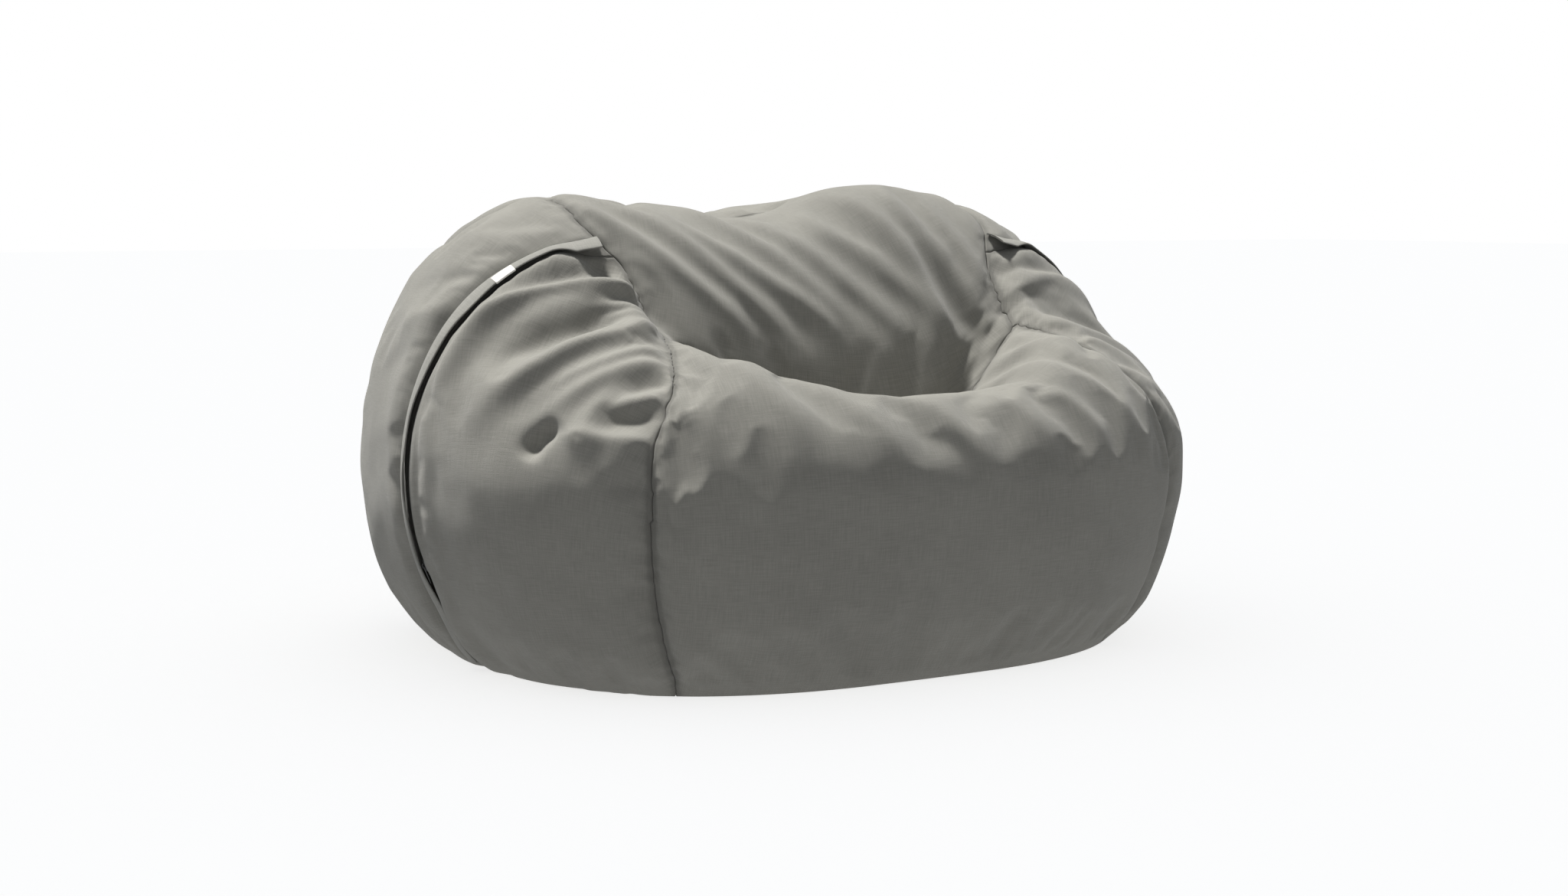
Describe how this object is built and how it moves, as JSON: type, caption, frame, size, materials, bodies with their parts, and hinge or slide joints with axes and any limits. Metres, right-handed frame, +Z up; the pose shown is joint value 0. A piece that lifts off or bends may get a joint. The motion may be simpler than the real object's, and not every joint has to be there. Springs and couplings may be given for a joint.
{
  "type": "bean bag chair",
  "caption": "Low wide bean bag lounger with a wraparound rim, a seat hollow, a backrest roll, curved zips under folded side flaps, and a zipped inner liner of beads.",
  "frame": {"origin": "on the floor under the middle of the chair", "axes": "+Z up, +X towards the sitter's left and along the width, the sitter faces -Y"},
  "size_m": [1.2416, 1.0286, 0.6588],
  "materials": {
    "cover_fabric": "matt plain weave, warm grey",
    "label_fabric": "smooth woven ribbon, off white, blank",
    "zip_tape": "ribbed woven tape",
    "zip_teeth": "satin nylon coil",
    "zip_slider": "satin enamel on cast zinc",
    "liner_fabric": "thin non-woven, off white",
    "beads": "expanded polystyrene beads"
  },
  "bodies": {
    "root": {"base_panel": "cover_fabric", "front_seat_panel": "cover_fabric", "backrest_panel": "cover_fabric", "rear_panel": "cover_fabric", "right_arm_panel": "cover_fabric", "left_arm_panel": "cover_fabric", "right_shoulder_panel": "cover_fabric", "left_shoulder_panel": "cover_fabric", "right_zip_flap": "cover_fabric", "left_zip_flap": "cover_fabric", "label_tag": "label_fabric", "right_zip_front_tape": "zip_tape", "right_zip_rear_tape": "zip_tape", "right_zip_teeth": "zip_teeth", "left_zip_front_tape": "zip_tape", "left_zip_rear_tape": "zip_tape", "left_zip_teeth": "zip_teeth", "liner_front": "liner_fabric", "liner_rear": "liner_fabric", "liner_zip_front_tape": "zip_tape", "liner_zip_rear_tape": "zip_tape", "liner_zip_teeth": "zip_teeth", "bead_filling": "beads"},
    "left_zip_pull": {"left_zip_pull": "zip_slider"},
    "left_zip_slider": {"left_zip_slider": "zip_slider"},
    "liner_zip_slider": {"liner_zip_slider": "zip_slider"},
    "right_zip_pull": {"right_zip_pull": "zip_slider"},
    "right_zip_slider": {"right_zip_slider": "zip_slider"}
  },
  "joints": [
    {"name": "right_zip_travel", "type": "hinge", "parent": "root", "child": "right_zip_slider", "pos_m": [-0.2865, -0.1194, 0.276], "axis": [0.2743, 0.9617, 0], "range_deg": [0, 85]},
    {"name": "right_pull_swing", "type": "hinge", "parent": "right_zip_slider", "child": "right_zip_pull", "pos_m": [-0.58924, -0.03306, 0.15199], "axis": [0.2743, 0.9617, 0], "range_deg": [0, 170], "deforming": ["right_zip_flap", "label_tag"]},
    {"name": "left_zip_travel", "type": "hinge", "parent": "root", "child": "left_zip_slider", "pos_m": [0.2865, -0.1194, 0.276], "axis": [0.2743, -0.9617, 0], "range_deg": [0, 85]},
    {"name": "left_pull_swing", "type": "hinge", "parent": "left_zip_slider", "child": "left_zip_pull", "pos_m": [0.58924, -0.03306, 0.15199], "axis": [0.2743, -0.9617, 0], "range_deg": [0, 170], "deforming": ["left_zip_flap"]},
    {"name": "liner_zip_travel", "type": "slide", "parent": "root", "child": "liner_zip_slider", "axis": [1, 0, 0], "range_m": [0, 0.48]}
  ]
}
